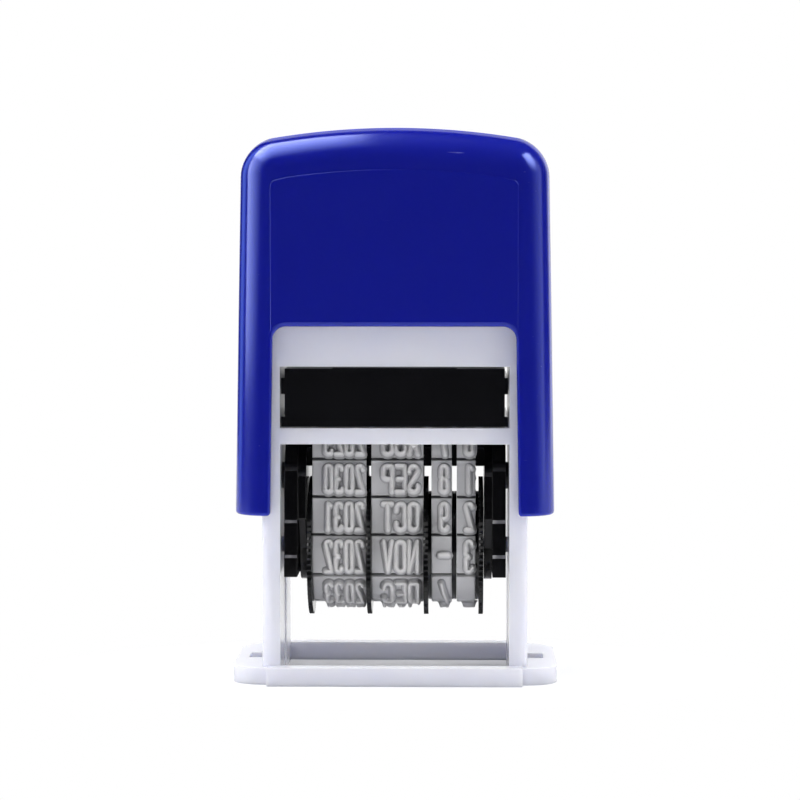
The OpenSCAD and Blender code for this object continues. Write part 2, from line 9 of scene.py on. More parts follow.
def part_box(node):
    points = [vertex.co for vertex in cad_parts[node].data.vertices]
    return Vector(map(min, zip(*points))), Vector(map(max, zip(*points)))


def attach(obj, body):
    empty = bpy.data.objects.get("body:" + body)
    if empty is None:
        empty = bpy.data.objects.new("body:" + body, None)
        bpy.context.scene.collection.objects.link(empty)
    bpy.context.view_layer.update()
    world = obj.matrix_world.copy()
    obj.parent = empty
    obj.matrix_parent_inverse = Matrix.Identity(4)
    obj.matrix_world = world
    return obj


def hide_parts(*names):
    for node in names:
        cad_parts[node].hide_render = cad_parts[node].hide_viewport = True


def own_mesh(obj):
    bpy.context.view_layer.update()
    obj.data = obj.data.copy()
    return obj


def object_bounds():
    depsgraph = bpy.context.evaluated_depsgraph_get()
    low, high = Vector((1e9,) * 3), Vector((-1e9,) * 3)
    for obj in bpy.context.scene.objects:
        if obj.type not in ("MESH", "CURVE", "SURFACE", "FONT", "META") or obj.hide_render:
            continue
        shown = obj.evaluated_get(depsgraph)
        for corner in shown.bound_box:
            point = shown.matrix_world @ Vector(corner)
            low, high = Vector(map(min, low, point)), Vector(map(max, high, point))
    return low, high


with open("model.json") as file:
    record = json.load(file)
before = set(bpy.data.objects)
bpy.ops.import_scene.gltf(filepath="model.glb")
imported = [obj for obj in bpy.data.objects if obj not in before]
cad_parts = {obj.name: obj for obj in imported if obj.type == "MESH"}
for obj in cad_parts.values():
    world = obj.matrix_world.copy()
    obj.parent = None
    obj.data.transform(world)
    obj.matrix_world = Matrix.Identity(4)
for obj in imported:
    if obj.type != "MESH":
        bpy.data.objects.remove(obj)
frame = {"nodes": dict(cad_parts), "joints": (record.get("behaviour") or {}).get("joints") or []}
cad_low, cad_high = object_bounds()

# Camera. A long lens looks almost level at the front, from a little above and to the right of the
# middle, so that the inner sides of the left column and the base ring show.
mm = 0.001
scene = bpy.context.scene
scene.view_settings.view_transform = "Standard"
camera_data = bpy.data.cameras.new("camera")
camera_data.sensor_width = 36
camera_data.lens = 125.2
camera = bpy.data.objects.new("camera", camera_data)
look_down = math.radians(3.105)
look_left = math.radians(1.235)
camera.location = Vector((8.4, -368.1, 56.2)) * mm
camera.rotation_euler = (math.pi / 2 - look_down, 0, look_left)
scene.collection.objects.link(camera)
scene.camera = camera


# Studio. A sheet of white paper lies under the stamp and sweeps up behind it. Soft boxes on the left,
# above and on the right light it, and others beside them show only as mirror images in its gloss. The
# room is dim in front.
def add(tree, kind, inputs=None, **settings):
    """Adds a node. inputs gives each socket a value, or the output that it is linked to."""
    made = tree.nodes.new(kind)
    for key, value in settings.items():
        setattr(made, key, value)
    for key, value in (inputs or {}).items():
        if isinstance(value, bpy.types.NodeSocket):
            tree.links.new(value, made.inputs[key])
        else:
            made.inputs[key].default_value = value
    return made


def linear(code):
    """A colour written as an sRGB hex code, as linear values with alpha."""
    shares = [int(code[i:i + 2], 16) / 255 for i in (1, 3, 5)]
    return (*[s / 12.92 if s <= 0.04045 else ((s + 0.055) / 1.055) ** 2.4 for s in shares], 1)


def new_finish(name):
    """A material with an empty node tree."""
    made = bpy.data.materials.new(name)
    made.use_nodes = True
    made.node_tree.nodes.clear()
    return made, made.node_tree


def put(name, bm, finish):
    """Makes an object of a mesh under construction."""
    mesh = bpy.data.meshes.new(name)
    bm.to_mesh(mesh)
    bm.free()
    mesh.shade_smooth()
    made = bpy.data.objects.new(name, mesh)
    if finish:
        mesh.materials.append(finish)
    scene.collection.objects.link(made)
    return made


paper_finish, tree = new_finish("white_paper")
ray = add(tree, "ShaderNodeLightPath").outputs
seen = add(tree, "ShaderNodeMath", {0: ray["Is Camera Ray"], 1: ray["Is Glossy Ray"]}, operation="MAXIMUM")
seen = add(tree, "ShaderNodeMath", {0: seen.outputs[0], 1: ray["Is Transmission Ray"]}, operation="MAXIMUM")
place = add(tree, "ShaderNodeTexCoord").outputs["Object"]
squeezed = add(tree, "ShaderNodeVectorMath", {0: place, 1: (0.65, 1, 1)}, operation="MULTIPLY")
reach = add(tree, "ShaderNodeVectorMath", {0: squeezed.outputs[0]}, operation="LENGTH")
far_off = add(tree, "ShaderNodeMapRange", {"Value": reach.outputs["Value"], "From Min": 10 * mm,
              "From Max": 32 * mm, "To Min": 0.15}, interpolation_type="SMOOTHSTEP")
white = add(tree, "ShaderNodeMath", {0: seen.outputs[0], 1: far_off.outputs[0]}, operation="MULTIPLY")
lit = add(tree, "ShaderNodeBsdfDiffuse", {"Color": linear("#f4f4f6")})
glow = add(tree, "ShaderNodeEmission", {"Color": (1, 1, 1, 1), "Strength": 1})
both = add(tree, "ShaderNodeMixShader", {0: white.outputs[0], 1: lit.outputs[0], 2: glow.outputs[0]})
add(tree, "ShaderNodeOutputMaterial", {"Surface": both.outputs[0]})

paper_left = -0.3
paper_right = 0.6
paper_front = -0.1
paper_bend = 0.5
paper_bend_r = 0.2
paper_top = 0.9
paper_line = [(paper_front, 0)]
for step in range(13):
    turn = math.radians(90 * step / 12)
    paper_line.append((paper_bend + paper_bend_r * math.sin(turn), paper_bend_r * (1 - math.cos(turn))))
paper_line.append((paper_bend + paper_bend_r, paper_top))
bm = bmesh.new()
edges = [[bm.verts.new((x, y, z)) for y, z in paper_line] for x in (paper_left, paper_right)]
for i in range(len(paper_line) - 1):
    bm.faces.new((edges[0][i], edges[1][i], edges[1][i + 1], edges[0][i + 1]))
paper = put("paper_sweep", bm, paper_finish)

# The sheet's front end throws light up on the stamp, and is kept out of the mirror images.
apron_front = -0.6
bm = bmesh.new()
bm.faces.new([bm.verts.new((x, y, 0)) for x, y in ((paper_left, apron_front), (paper_right, apron_front),
                                                   (paper_right, paper_front), (paper_left, paper_front))])
apron = put("paper_apron", bm, paper_finish)
apron.visible_glossy = False
apron.visible_camera = False

world = bpy.data.worlds.new("studio")
world.use_nodes = True
tree = world.node_tree
tree.nodes.clear()
ray = add(tree, "ShaderNodeLightPath").outputs
white = add(tree, "ShaderNodeBackground", {"Color": (1, 1, 1, 1), "Strength": 1})
dim = add(tree, "ShaderNodeMapRange", {"Value": ray["Is Glossy Ray"], "To Min": 0.1, "To Max": 0.02})
room = add(tree, "ShaderNodeBackground", {"Color": linear("#ececf4"), "Strength": dim.outputs[0]})
both = add(tree, "ShaderNodeMixShader", {0: ray["Is Camera Ray"], 1: room.outputs[0], 2: white.outputs[0]})
add(tree, "ShaderNodeOutputWorld", {"Surface": both.outputs[0]})
scene.world = world

middle = (cad_low + cad_high) / 2


def soft_box(name, centre, width, height, brightness, aim=middle, peak=(0.5, 0.5), fade=0.6,
             tint="#ffffff", lights=True, mirrored=True):
    """A rectangular lamp, brightest at its peak. Brightness 1 is that of white in the picture.

    One that lights gives plain light, and one that is mirrored shows as an image in glossy surfaces.
    """
    lamp = bpy.data.lights.new(name, "AREA")
    lamp.shape = "RECTANGLE"
    lamp.size = width
    lamp.size_y = height
    lamp.energy = math.pi * width * height * brightness
    lamp.use_nodes = True
    lamp.node_tree.nodes.clear()
    spot = add(lamp.node_tree, "ShaderNodeNewGeometry").outputs["Parametric"]
    off = add(lamp.node_tree, "ShaderNodeVectorMath", {0: spot, 1: (*peak, 0)}, operation="DISTANCE")
    fall = add(lamp.node_tree, "ShaderNodeMapRange", {"Value": off.outputs["Value"], "From Max": fade,
               "To Min": 1.6, "To Max": 0}, interpolation_type="SMOOTHSTEP")
    face = add(lamp.node_tree, "ShaderNodeEmission", {"Color": linear(tint), "Strength": fall.outputs[0]})
    add(lamp.node_tree, "ShaderNodeOutputLight", {"Surface": face.outputs[0]})
    made = bpy.data.objects.new(name, lamp)
    made.location = centre
    made.rotation_euler = (Vector(aim) - Vector(centre)).to_track_quat("-Z", "Y").to_euler()
    made.visible_camera = False
    made.visible_diffuse = lights
    made.visible_glossy = mirrored
    scene.collection.objects.link(made)


soft_box("left_box", (-0.39, -0.035, 0.2), 0.5, 0.4, 3.1, mirrored=False)
soft_box("left_rear_glow", (-0.42, 0.23, 0.22), 0.24, 0.56, 1.4, fade=1.2, tint="#94b4ff", lights=False)
soft_box("left_glow", (-0.38, -0.17, 0.28), 0.6, 0.58, 3.9, peak=(0, 0.3), fade=1.05, lights=False)
soft_box("upper_left_glow", (-0.22, -0.18, 0.47), 0.66, 0.4, 6.4, aim=(0, -0.18, 0.036), peak=(0, 0.5),
         fade=1.1, lights=False)
soft_box("top_box", (0.05, -0.15, 0.6), 0.9, 0.6, 0.7, mirrored=False)
soft_box("overhead_box", (0, 0, 0.6), 0.6, 0.4, 9, mirrored=False)
soft_box("right_fill", (0.46, 0.2, 0.2), 0.4, 0.4, 3.1, mirrored=False)
soft_box("right_box", (0.36, -0.2, 0.2), 0.24, 0.4, 2.4, mirrored=False)
soft_box("right_glow", (0.33, -0.16, 0.26), 0.24, 0.4, 7, peak=(0.5, 0.9), fade=0.9, lights=False)
soft_box("right_sheen", (0.37, -0.14, 0.12), 0.37, 0.5, 0.8, peak=(0.95, 0.5), fade=0.9, lights=False)
soft_box("right_rear_sheen", (0.3, 0.32, 0.12), 0.26, 0.5, 0.6, lights=False)


# Frame. One white moulding: a base ring with two ears, two columns, cross bars, the bay for the ink
# cartridge and the deck that carries the spring. Cool white ABS from a smooth mould.
def dress(node, finish, edge, steps=3):
    """Gives a piece its finish, and rounds its edges as a mould does."""
    piece = frame["nodes"][node]
    for slot in piece.material_slots:
        slot.material = finish
    weld = piece.modifiers.new("weld", "WELD")
    weld.merge_threshold = 0.001 * mm
    flats = piece.modifiers.new("flats", "DECIMATE")
    flats.decimate_type = "DISSOLVE"
    flats.angle_limit = math.radians(0.5)
    rounding = piece.modifiers.new("rounding", "BEVEL")
    rounding.width = edge
    rounding.segments = steps
    rounding.limit_method = "ANGLE"
    rounding.angle_limit = math.radians(28)
    normals = piece.modifiers.new("normals", "WEIGHTED_NORMAL")
    normals.keep_sharp = False


# Moulded white ABS: light goes a little way in, which softens its shadows, and its gloss is broken by a
# faint unevenness of tone and a very fine grain from the mould.
white_abs, tree = new_finish("white_abs_moulded")
place = add(tree, "ShaderNodeTexCoord").outputs["Object"]
cloud = add(tree, "ShaderNodeTexNoise", {"Vector": place, "Scale": 1 / (9 * mm), "Detail": 3})
tone = add(tree, "ShaderNodeMix", {0: cloud.outputs["Fac"], 6: linear("#e5e6f3"), 7: linear("#eff0fa")},
           data_type="RGBA")
grain = add(tree, "ShaderNodeTexNoise", {"Vector": place, "Scale": 1 / (0.12 * mm), "Detail": 2})
gloss = add(tree, "ShaderNodeMapRange", {"Value": grain.outputs["Fac"], "To Min": 0.1, "To Max": 0.2})
relief = add(tree, "ShaderNodeBump", {"Height": grain.outputs["Fac"], "Strength": 0.06,
             "Distance": 0.02 * mm})
body = add(tree, "ShaderNodeBsdfPrincipled", {"Base Color": tone.outputs[2], "IOR": 1.53,
           "Roughness": gloss.outputs[0], "Normal": relief.outputs[0], "Subsurface Weight": 0.8,
           "Subsurface Radius": (1, 0.95, 0.9), "Subsurface Scale": 1.5 * mm})
add(tree, "ShaderNodeOutputMaterial", {"Surface": body.outputs[0]})
dress("frame", white_abs, 0.3 * mm)


# Ink cartridge. A black tray slides into the frame's bay on two side rails, and holds the inked pad face
# down. Moulded polystyrene: near black, with a low sheen that varies a little and a fine grain.
black_ps, tree = new_finish("black_polystyrene")
place = add(tree, "ShaderNodeTexCoord").outputs["Object"]
grain = add(tree, "ShaderNodeTexNoise", {"Vector": place, "Scale": 1 / (0.15 * mm), "Detail": 2})
cloud = add(tree, "ShaderNodeTexNoise", {"Vector": place, "Scale": 1 / (5 * mm), "Detail": 4})
tone = add(tree, "ShaderNodeMix", {0: cloud.outputs["Fac"], 6: linear("#0b0b0d"), 7: linear("#131317")},
           data_type="RGBA")
gloss = add(tree, "ShaderNodeMapRange", {"Value": cloud.outputs["Fac"], "To Min": 0.12, "To Max": 0.24})
relief = add(tree, "ShaderNodeBump", {"Height": grain.outputs["Fac"], "Strength": 0.08,
             "Distance": 0.02 * mm})
body = add(tree, "ShaderNodeBsdfPrincipled", {"Base Color": tone.outputs[2], "IOR": 1.55,
           "Roughness": gloss.outputs[0], "Normal": relief.outputs[0]})
add(tree, "ShaderNodeOutputMaterial", {"Surface": body.outputs[0]})
dress("ink_tray", black_ps, 0.15 * mm)

# The pad is a block of felt soaked in ink and pressed into the tray. Its face is matt and fibrous, with
# rounded edges and a little lint.
ink_felt, tree = new_finish("inked_felt")
place = add(tree, "ShaderNodeTexCoord").outputs["Object"]
fibre = add(tree, "ShaderNodeTexNoise", {"Vector": place, "Scale": 1 / (0.25 * mm), "Detail": 6,
            "Distortion": 2})
tone = add(tree, "ShaderNodeMix", {0: fibre.outputs["Fac"], 6: linear("#08080a"), 7: linear("#17171d")},
           data_type="RGBA")
relief = add(tree, "ShaderNodeBump", {"Height": fibre.outputs["Fac"], "Strength": 0.8,
             "Distance": 0.12 * mm})
body = add(tree, "ShaderNodeBsdfPrincipled", {"Base Color": tone.outputs[2], "Roughness": 0.7,
           "Sheen Weight": 0.15, "Normal": relief.outputs[0]})
add(tree, "ShaderNodeOutputMaterial", {"Surface": body.outputs[0]})
pad_low, pad_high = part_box("ink_pad")
pad_step = 0.4 * mm
pad_edge = 0.5 * mm
pad_lint = 0.06 * mm
columns = round((pad_high.x - pad_low.x) / pad_step)
rows = round((pad_high.y - pad_low.y) / pad_step)
bm = bmesh.new()
face = []
for i in range(columns + 1):
    line = []
    for j in range(rows + 1):
        x = pad_low.x + (pad_high.x - pad_low.x) * i / columns
        y = pad_low.y + (pad_high.y - pad_low.y) * j / rows
        rim = min(x - pad_low.x, pad_high.x - x, y - pad_low.y, pad_high.y - y)
        lift = pad_edge * max(0, 1 - rim / pad_edge) ** 2
        lint = pad_lint * (0.5 + 0.5 * noise.noise(Vector((x, y, 0)) / (0.7 * mm)))
        line.append(bm.verts.new((x, y, pad_low.z + lift + lint)))
    face.append(line)
for i in range(columns):
    for j in range(rows):
        bm.faces.new((face[i][j], face[i][j + 1], face[i + 1][j + 1], face[i + 1][j]))
rim = [face[i][0] for i in range(columns)] + [face[columns][j] for j in range(rows)]
rim += [face[i][rows] for i in range(columns, 0, -1)] + [face[0][j] for j in range(rows, 0, -1)]
back = [bm.verts.new((v.co.x, v.co.y, pad_high.z)) for v in rim]
for i in range(len(rim)):
    bm.faces.new((rim[i - 1], rim[i], back[i], back[i - 1]))
bm.faces.new(back)
pad = put("felt_pad", bm, ink_felt)
pad.data.set_sharp_from_angle(angle=math.radians(50))
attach(pad, "ink_cartridge")
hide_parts("ink_pad")


# Date unit. Two black cheeks with cam grooves and trunnions hold the bridge that the bands run over.
# Black ABS, moulded: smooth and dark, with a thin grey bloom of rubber dust, and a painted highlight on the
# cheeks' outer ledges.
black_abs, tree = new_finish("black_abs")
around = add(tree, "ShaderNodeTexCoord").outputs
place = around["Object"]
dust = add(tree, "ShaderNodeTexNoise", {"Vector": place, "Scale": 1 / (0.8 * mm), "Detail": 6,
           "Roughness": 0.7})
dusty = add(tree, "ShaderNodeMapRange", {"Value": dust.outputs["Fac"], "From Min": 0.5, "From Max": 0.8,
            "To Max": 0.3})
tone = add(tree, "ShaderNodeMix", {0: dusty.outputs[0], 6: linear("#09090b"), 7: linear("#1e1e22")},
           data_type="RGBA")
# Painted highlight: the faces that look up on the cheeks' outer ledges, far from the middle and below
# the pivot, are painted pale grey, as if light caught them.
ledge_x = 12.5 * mm
ledge_top = 25 * mm
up = add(tree, "ShaderNodeSeparateXYZ", {0: around["Normal"]}).outputs["Z"]
level = add(tree, "ShaderNodeMapRange", {"Value": up, "From Min": 0.5, "From Max": 0.9})
spot = add(tree, "ShaderNodeSeparateXYZ", {0: place}).outputs
aside = add(tree, "ShaderNodeMath", {0: spot["X"]}, operation="ABSOLUTE")
outer = add(tree, "ShaderNodeMath", {0: aside.outputs[0], 1: ledge_x}, operation="GREATER_THAN")
lower = add(tree, "ShaderNodeMath", {0: spot["Z"], 1: ledge_top}, operation="LESS_THAN")
ledge = add(tree, "ShaderNodeMath", {0: outer.outputs[0], 1: lower.outputs[0]}, operation="MULTIPLY")
painted_ledge_highlight = add(tree, "ShaderNodeMath", {0: level.outputs[0], 1: ledge.outputs[0]}, operation="MULTIPLY")
tone = add(tree, "ShaderNodeMix", {0: painted_ledge_highlight.outputs[0], 6: tone.outputs[2], 7: linear("#a2a2a8")},
           data_type="RGBA")
gloss = add(tree, "ShaderNodeMapRange", {"Value": dust.outputs["Fac"], "To Min": 0.08, "To Max": 0.2})
body = add(tree, "ShaderNodeBsdfPrincipled", {"Base Color": tone.outputs[2], "IOR": 1.45,
           "Roughness": gloss.outputs[0]})
add(tree, "ShaderNodeOutputMaterial", {"Surface": body.outputs[0]})
dress("left_cheek", black_abs, 0.12 * mm)
dress("right_cheek", black_abs, 0.12 * mm)
dress("band_bridge", black_abs, 0.1 * mm)

# The wheels' axle is a ground steel pin, with grinding lines round it.
ground_steel, tree = new_finish("ground_steel")
place = add(tree, "ShaderNodeTexCoord").outputs["Object"]
lines = add(tree, "ShaderNodeMapping", {"Vector": place, "Scale": (1 / (0.03 * mm), 0, 0)})
ground = add(tree, "ShaderNodeTexNoise", {"Vector": lines.outputs[0], "Scale": 1, "Detail": 2})
gloss = add(tree, "ShaderNodeMapRange", {"Value": ground.outputs["Fac"], "To Min": 0.18, "To Max": 0.38})
body = add(tree, "ShaderNodeBsdfPrincipled", {"Base Color": linear("#c6c6c8"), "Metallic": 1,
           "Roughness": gloss.outputs[0]})
add(tree, "ShaderNodeOutputMaterial", {"Surface": body.outputs[0]})
dress("wheel_axle", ground_steel, 0.15 * mm)


# Setting wheels. Four thin knurled thumb discs with eight-sided hubs, and one plain spacer disc.
# Black ABS like the cheeks.
wheels = ("year_wheel", "month_wheel", "day_unit_wheel", "day_ten_wheel")
for wheel in wheels:
    dress(wheel, black_abs, 0.05 * mm, steps=2)
dress("wheel_spacer", black_abs, 0.08 * mm, steps=2)


# Date bands. Four endless bands of grey rubber, moulded with a pad and raised mirror type for each
# place. They run over the bridge at the print face and round the wheels' hubs below. Rubber: matt,
# with chalky patches. Its colour is painted darker down in the grooves and at the type's foot as
# painted shade, and paler on the type's faces as a painted highlight.
band_rubber, tree = new_finish("grey_rubber")
place = add(tree, "ShaderNodeTexCoord").outputs["Object"]
height = add(tree, "ShaderNodeAttribute", attribute_name="relief").outputs["Fac"]
skin = add(tree, "ShaderNodeTexNoise", {"Vector": place, "Scale": 1 / (0.2 * mm), "Detail": 4})
cloud = add(tree, "ShaderNodeTexNoise", {"Vector": place, "Scale": 1 / (2.5 * mm), "Detail": 3})
# The tone follows height: painted shade darkens the grooves and the type's foot, and a painted highlight
# makes the type's faces paler than the pads.
groove_shade_ramp = add(tree, "ShaderNodeMapRange", {"Value": height, "From Max": 0.35})
top_highlight_ramp = add(tree, "ShaderNodeMapRange", {"Value": height, "From Min": 0.35, "From Max": 1})
groove_shade_tone = add(tree, "ShaderNodeMix", {0: groove_shade_ramp.outputs[0], 6: linear("#4c4c4e"), 7: linear("#c8c8c9")},
               data_type="RGBA")
raised = add(tree, "ShaderNodeMix", {0: top_highlight_ramp.outputs[0], 6: groove_shade_tone.outputs[2], 7: linear("#d8d7d5")},
             data_type="RGBA")
chalky = add(tree, "ShaderNodeMapRange", {"Value": cloud.outputs["Fac"], "From Min": 0.35, "From Max": 0.75,
             "To Max": 0.3})
tone = add(tree, "ShaderNodeMix", {0: chalky.outputs[0], 6: raised.outputs[2], 7: linear("#b4b4b4")},
           data_type="RGBA")
gloss = add(tree, "ShaderNodeMapRange", {"Value": skin.outputs["Fac"], "To Min": 0.42, "To Max": 0.62})
grain = add(tree, "ShaderNodeBump", {"Height": skin.outputs["Fac"], "Strength": 0.12,
            "Distance": 0.03 * mm})
body = add(tree, "ShaderNodeBsdfPrincipled", {"Base Color": tone.outputs[2], "IOR": 1.5,
           "Roughness": gloss.outputs[0], "Normal": grain.outputs[0]})
add(tree, "ShaderNodeOutputMaterial", {"Surface": body.outputs[0]})

joints = {joint["name"]: joint for joint in frame["joints"]}
trunnion_z = joints["flip"]["pos_m"][2]
axle_z = joints["year_turn"]["pos_m"][2]
band_low, band_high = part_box("year_band")
band_t = 1.3 * mm
web_t = 0.7 * mm
type_h = 0.8 * mm
pads = 12
bridge_w = 9.4 * mm
corner_r = 0.9 * mm
bend_r = axle_z - band_low.z - band_t - type_h
corner_y = bridge_w / 2 - corner_r + 0.1 * mm
corner_z = band_high.z - type_h - band_t - corner_r
span = Vector((corner_y, corner_z - axle_z)).length
lean = math.atan2(corner_z - axle_z, corner_y) - math.acos((bend_r - corner_r) / span)
straight = math.sqrt(span ** 2 - (bend_r - corner_r) ** 2)
corner_l = (corner_r + web_t / 2) * (math.pi / 2 - lean)
bend_l = (bend_r + web_t / 2) * (math.pi / 2 + lean)
half_loop = corner_y + corner_l + straight + bend_l
pitch = 2 * half_loop / pads


def on_loop(s, h):
    """The point a length s down the front from the print face's middle, a height h over the inner face."""
    s = (s + half_loop) % (2 * half_loop) - half_loop
    along = abs(s)
    if along < corner_y:
        y, z = along, corner_z + corner_r + h
    elif along < corner_y + corner_l:
        turn = math.pi / 2 - (along - corner_y) / corner_l * (math.pi / 2 - lean)
        y = corner_y + (corner_r + h) * math.cos(turn)
        z = corner_z + (corner_r + h) * math.sin(turn)
    elif along < half_loop - bend_l:
        down = along - corner_y - corner_l
        y = corner_y + (corner_r + h) * math.cos(lean) + down * math.sin(lean)
        z = corner_z + (corner_r + h) * math.sin(lean) - down * math.cos(lean)
    else:
        turn = lean - (along - half_loop + bend_l) / bend_l * (math.pi / 2 + lean)
        y = (bend_r + h) * math.cos(turn)
        z = axle_z + (bend_r + h) * math.sin(turn)
    return (-y if s > 0 else y), z


# Type. Each character is drawn with the middle lines of its strokes, in a box of width w and height h.
def bow(u, v, r, start, end):
    """An arc of a stroke, in degrees."""
    count = max(2, round(abs(end - start) / 22.5))
    turns = [math.radians(start + (end - start) * i / count) for i in range(count + 1)]
    return [(u + r * math.cos(t), v + r * math.sin(t)) for t in turns]


def strokes(sign, w, h):
    r = w / 2
    m = h / 2
    q = 0.42 * w
    upper_bow = [(0, h), (w - q, h), *bow(w - q, h - q, q, 90, 0), *bow(w - q, m + q, q, 0, -90), (0, m)]
    lower_bow = [(0, m), (w - q, m), *bow(w - q, m - q, q, 90, 0), *bow(w - q, q, q, 0, -90), (0, 0)]
    oval = [(0, m), *bow(r, h - r, r, 180, 0), *bow(r, r, r, 0, -180), (0, m)]
    hook = [*bow(r, h - r, r, 0, 180), *bow(r, r, r, 180, 360)]
    drawn = {
        "0": [oval],
        "1": [[(0.1 * w, h - 0.8 * r), (0.6 * w, h), (0.6 * w, 0)]],
        "2": [[*bow(r, h - r, r, 180, -10), (0, 0), (w, 0)]],
        "3": [[*bow(r, h - r, r, 180, 0), *bow(r, m + r, r, 0, -80)],
              [*bow(r, m - r, r, 80, 0), *bow(r, r, r, 0, -180)]],
        "4": [[(0.75 * w, 0), (0.75 * w, h), (0, 0.3 * h), (w, 0.3 * h)]],
        "5": [[(w, h), (0, h), (0, 0.52 * h)],
              [(0, 0.52 * h), *bow(r, 0.58 * h - r, r, 110, 0), *bow(r, r, r, 0, -180)]],
        "6": [[*bow(r, h - r, r, 0, 180), *bow(r, r, r, 180, 360), *bow(r, 0.58 * h - r, r, 0, 180)]],
        "7": [[(0, h), (w, h), (0.35 * w, 0)]],
        "8": [[(0, 0.75 * h), *bow(r, h - r, r, 180, 0), *bow(r, m + r, r, 0, -180), (0, 0.75 * h)],
              [(0, 0.25 * h), *bow(r, m - r, r, 180, 0), *bow(r, r, r, 0, -180), (0, 0.25 * h)]],
        "9": [[*bow(r, r, r, 180, 360), *bow(r, h - r, r, 0, 180), *bow(r, 0.42 * h + r, r, 180, 360)]],
        "-": [[(-0.25 * w, 0.55 * h), (1.25 * w, 0.55 * h)]],
        "/": [[(0, 0), (w, h)]],
        "A": [[(0, 0), (r, h), (w, 0)], [(0.2 * w, 0.3 * h), (0.8 * w, 0.3 * h)]],
        "B": [[(0, 0), (0, h)], upper_bow, lower_bow],
        "C": [[(w, h - 1.6 * r), *hook, (w, 1.6 * r)]],
        "D": [[(0, 0), (0, h), (w - q, h), *bow(w - q, h - q, q, 90, 0), *bow(w - q, q, q, 0, -90), (0, 0)]],
        "E": [[(w, h), (0, h), (0, 0), (w, 0)], [(0, m), (0.85 * w, m)]],
        "F": [[(w, h), (0, h), (0, 0)], [(0, m), (0.8 * w, m)]],
        "G": [[(w, h - 1.6 * r), *hook, (w, m), (0.55 * w, m)]],
        "J": [[(w, h), *bow(r, r, r, 0, -180)]],
        "L": [[(0, h), (0, 0), (w, 0)]],
        "M": [[(0, 0), (0, h), (r, 0.35 * h), (w, h), (w, 0)]],
        "N": [[(0, 0), (0, h), (w, 0), (w, h)]],
        "O": [oval],
        "P": [[(0, 0), (0, h)], upper_bow],
        "R": [[(0, 0), (0, h)], upper_bow, [(0.45 * w, m), (w, 0)]],
        "S": [[(w, h - 1.5 * r), *bow(r, h - r, r, 0, 200), *bow(r, r, r, 20, -180), (0, 1.5 * r)]],
        "T": [[(0, h), (w, h)], [(r, h), (r, 0)]],
        "U": [[(0, h), *bow(r, r, r, 180, 360), (w, h)]],
        "V": [[(0, h), (r, 0), (w, h)]],
        "Y": [[(0, h), (r, 0.45 * h), (w, h)], [(r, 0.45 * h), (r, 0)]],
        " ": [],
    }
    return drawn[sign]


sharpest = math.radians(40)
longest = 0.45 * mm


def smooth_runs(line):
    """Cuts a stroke at its sharp corners and adds points to its long stretches."""
    runs = [[Vector(line[0])]]
    for i in range(1, len(line)):
        here = Vector(line[i])
        last = runs[-1][-1]
        if (here - last).length < 0.01 * mm:
            continue
        if len(runs[-1]) > 1 and (last - runs[-1][-2]).angle(here - last) > sharpest:
            runs.append([last])
        count = math.ceil((here - last).length / longest)
        runs[-1] += [last.lerp(here, k / count) for k in range(1, count + 1)]
    return runs


# Half width of a stroke at heights over its pad: wide sloping flanks and a narrow flat face.
stroke_form = [(0.6 * mm, -0.05 * mm), (0.4 * mm, 0.16 * mm), (0.28 * mm, 0.45 * mm),
               (0.2 * mm, 0.7 * mm), (0.1 * mm, type_h)]
flank_sag = 0.25 * mm
cap_steps = 4


def outline(run, closed, reach):
    """Points at a distance from a run, down its left side and back up its right, with round ends."""
    left, right = [], []
    for i, here in enumerate(run):
        before = run[i - 1] if i or closed else here
        after = run[(i + 1) % len(run)] if i < len(run) - 1 or closed else here
        way = ((here - before).normalized() + (after - here).normalized()).normalized()
        side = Vector((-way.y, way.x)) * reach
        left.append(here + side)
        right.append(here - side)
    if closed:
        return left, right, [], []
    caps = []
    for end, rim in ((run[-1], left[-1]), (run[0], right[0])):
        arm = rim - end
        cap = []
        for k in range(1, cap_steps):
            turn = -math.pi * k / cap_steps
            cap.append(end + Vector((arm.x * math.cos(turn) - arm.y * math.sin(turn),
                                     arm.x * math.sin(turn) + arm.y * math.cos(turn))))
        caps.append(cap)
    return left, right, caps[0], caps[1]


def raise_type(bm, relief, run, put_at):
    """Builds one run of a stroke as a ridge on its pad. put_at gives the place of a point (u, v, height)."""
    closed = (run[0] - run[-1]).length < 0.02 * mm
    if closed:
        run = run[:-1]
    levels = []
    for reach, high in stroke_form:
        parts = outline(run, closed, reach)
        level = []
        for part in parts:
            sag = flank_sag * (1 - high / type_h)
            corners = [bm.verts.new(put_at(p.x, p.y - sag, high)) for p in part]
            for corner in corners:
                corner[relief] = max(0.2, high / type_h)
            level.append(corners)
        levels.append(level)
    for low, high in zip(levels, levels[1:]):
        if closed:
            loops = [(low[0], high[0], 1), (low[1], high[1], -1)]
        else:
            ring = [level[0] + level[2] + level[1][::-1] + level[3] for level in (low, high)]
            loops = [(ring[0], ring[1], 1)]
        for foot, top, sense in loops:
            for i in range(len(foot)):
                quad = (foot[i - 1], foot[i], top[i], top[i - 1])
                bm.faces.new(quad if sense > 0 else quad[::-1])
    for level, sense in ((levels[-1], 1), (levels[0], -1)):
        left, right, end, start = level
        for i in range(0 if closed else 1, len(left)):
            quad = (left[i - 1], left[i], right[i], right[i - 1])
            bm.faces.new(quad if sense > 0 else quad[::-1])
        if not closed:
            for cap in ([left[-1], *end, right[-1]], [right[0], *start, left[0]]):
                bm.faces.new(cap if sense > 0 else cap[::-1])


# Profile of a band along one pad: distance from the groove's middle, and height.
edge_t = 0.05 * mm
groove_form = [(0, web_t), (0.12 * mm, web_t), (0.19 * mm, band_t - 0.08 * mm), (0.26 * mm, band_t + edge_t),
               (0.4 * mm, band_t)]
pad_steps = 12
side_r = 0.12 * mm
band_swell = 0.07 * mm


